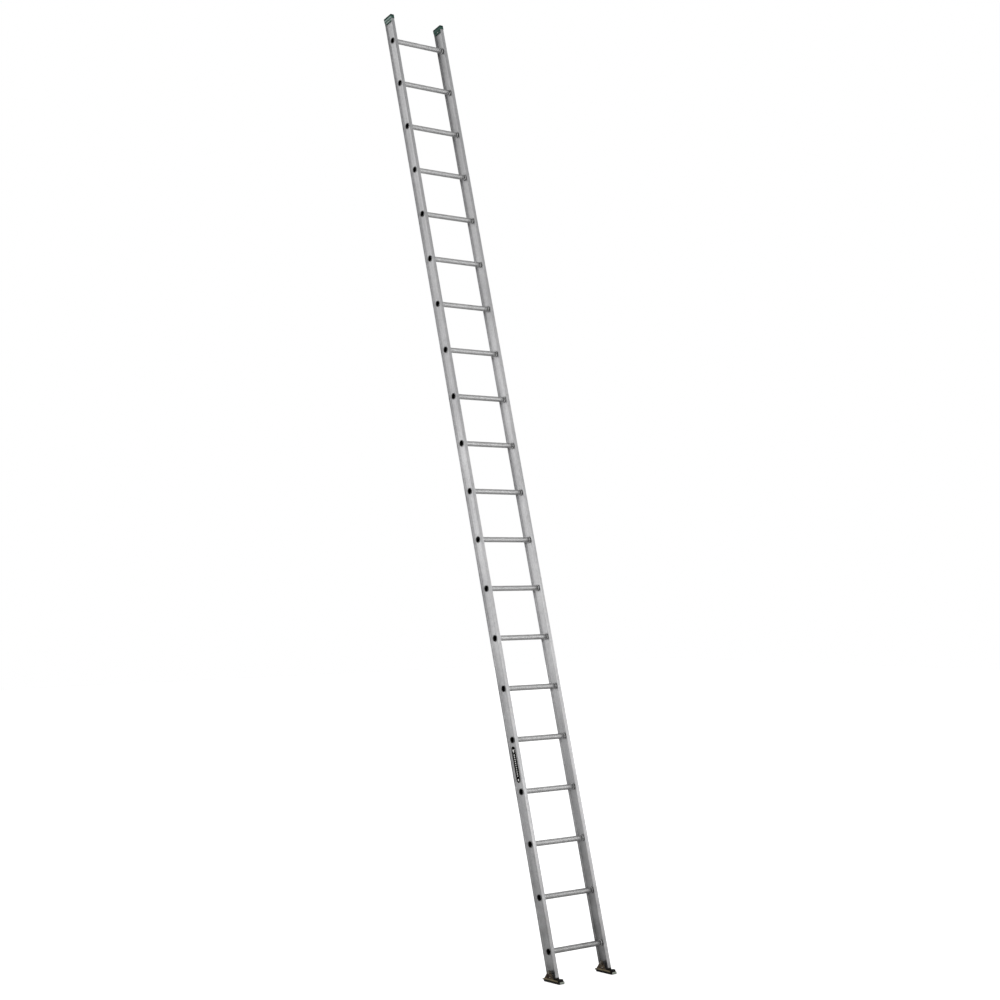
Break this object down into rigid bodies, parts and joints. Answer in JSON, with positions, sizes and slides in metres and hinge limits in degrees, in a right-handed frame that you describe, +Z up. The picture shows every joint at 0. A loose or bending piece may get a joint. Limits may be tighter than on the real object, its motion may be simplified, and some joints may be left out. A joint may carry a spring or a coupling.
{
  "type": "straight ladder",
  "caption": "Straight aluminium ladder leaning at its working angle: I-section rails, round ribbed rungs, green end caps and swivelling rubber-soled safety shoes.",
  "frame": {"origin": "floor level, midway between the two shoe pivots, directly below the pivot line", "axes": "+X along the rungs toward the right rail as seen by the climber, +Y away from the climber toward the wall, +Z up; the rails lean 14.5 degrees back from +Z toward +Y"},
  "size_m": [0.4574, 1.6466, 5.9465],
  "materials": {
    "rail_aluminium": "mill finish, drawn along the rail, light handling wear",
    "rung_aluminium": "ribbed extrusion, crests polished by feet",
    "cap_plastic": "moulded dark green",
    "plate_black": "satin black enamel with a light rim",
    "bracket_yellow_zinc": "aged yellow zinc on pressed steel",
    "pad_rubber": "moulded, dusty treads",
    "rivet_metal": "bright, slightly pitted",
    "fastener_zinc": "zinc-plated steel",
    "spacer_nylon": "black nylon"
  },
  "bodies": {
    "ladder": {"rail_left": "rail_aluminium", "rail_right": "rail_aluminium", "rung_01": "rung_aluminium", "rung_02": "rung_aluminium", "rung_03": "rung_aluminium", "rung_04": "rung_aluminium", "rung_05": "rung_aluminium", "rung_06": "rung_aluminium", "rung_07": "rung_aluminium", "rung_08": "rung_aluminium", "rung_09": "rung_aluminium", "rung_10": "rung_aluminium", "rung_11": "rung_aluminium", "rung_12": "rung_aluminium", "rung_13": "rung_aluminium", "rung_14": "rung_aluminium", "rung_15": "rung_aluminium", "rung_16": "rung_aluminium", "rung_17": "rung_aluminium", "rung_18": "rung_aluminium", "rung_19": "rung_aluminium", "rung_20": "rung_aluminium", "top_cap_left": "cap_plastic", "top_cap_right": "cap_plastic", "top_cap_rivets": "rivet_metal", "name_plate": "plate_black", "pivot_bolt_left": "fastener_zinc", "pivot_nut_left": "fastener_zinc", "pivot_spacers_left": "spacer_nylon", "pivot_washers_left": "fastener_zinc", "pivot_bolt_right": "fastener_zinc", "pivot_nut_right": "fastener_zinc", "pivot_spacers_right": "spacer_nylon", "pivot_washers_right": "fastener_zinc"},
    "shoe_left": {"shoe_bracket_left": "bracket_yellow_zinc", "shoe_pad_left": "pad_rubber", "shoe_pad_rivets_left": "rivet_metal", "shoe_ear_rivets_left": "rivet_metal"},
    "shoe_right": {"shoe_bracket_right": "bracket_yellow_zinc", "shoe_pad_right": "pad_rubber", "shoe_pad_rivets_right": "rivet_metal", "shoe_ear_rivets_right": "rivet_metal"}
  },
  "joints": [
    {"name": "shoe_left_swivel", "type": "hinge", "parent": "ladder", "child": "shoe_left", "pos_m": [-0.198, 0, 0.0565], "axis": [1, 0, 0], "range_deg": [-20, 75]},
    {"name": "shoe_right_swivel", "type": "hinge", "parent": "ladder", "child": "shoe_right", "pos_m": [0.198, 0, 0.0565], "axis": [1, 0, 0], "range_deg": [-20, 75]}
  ]
}
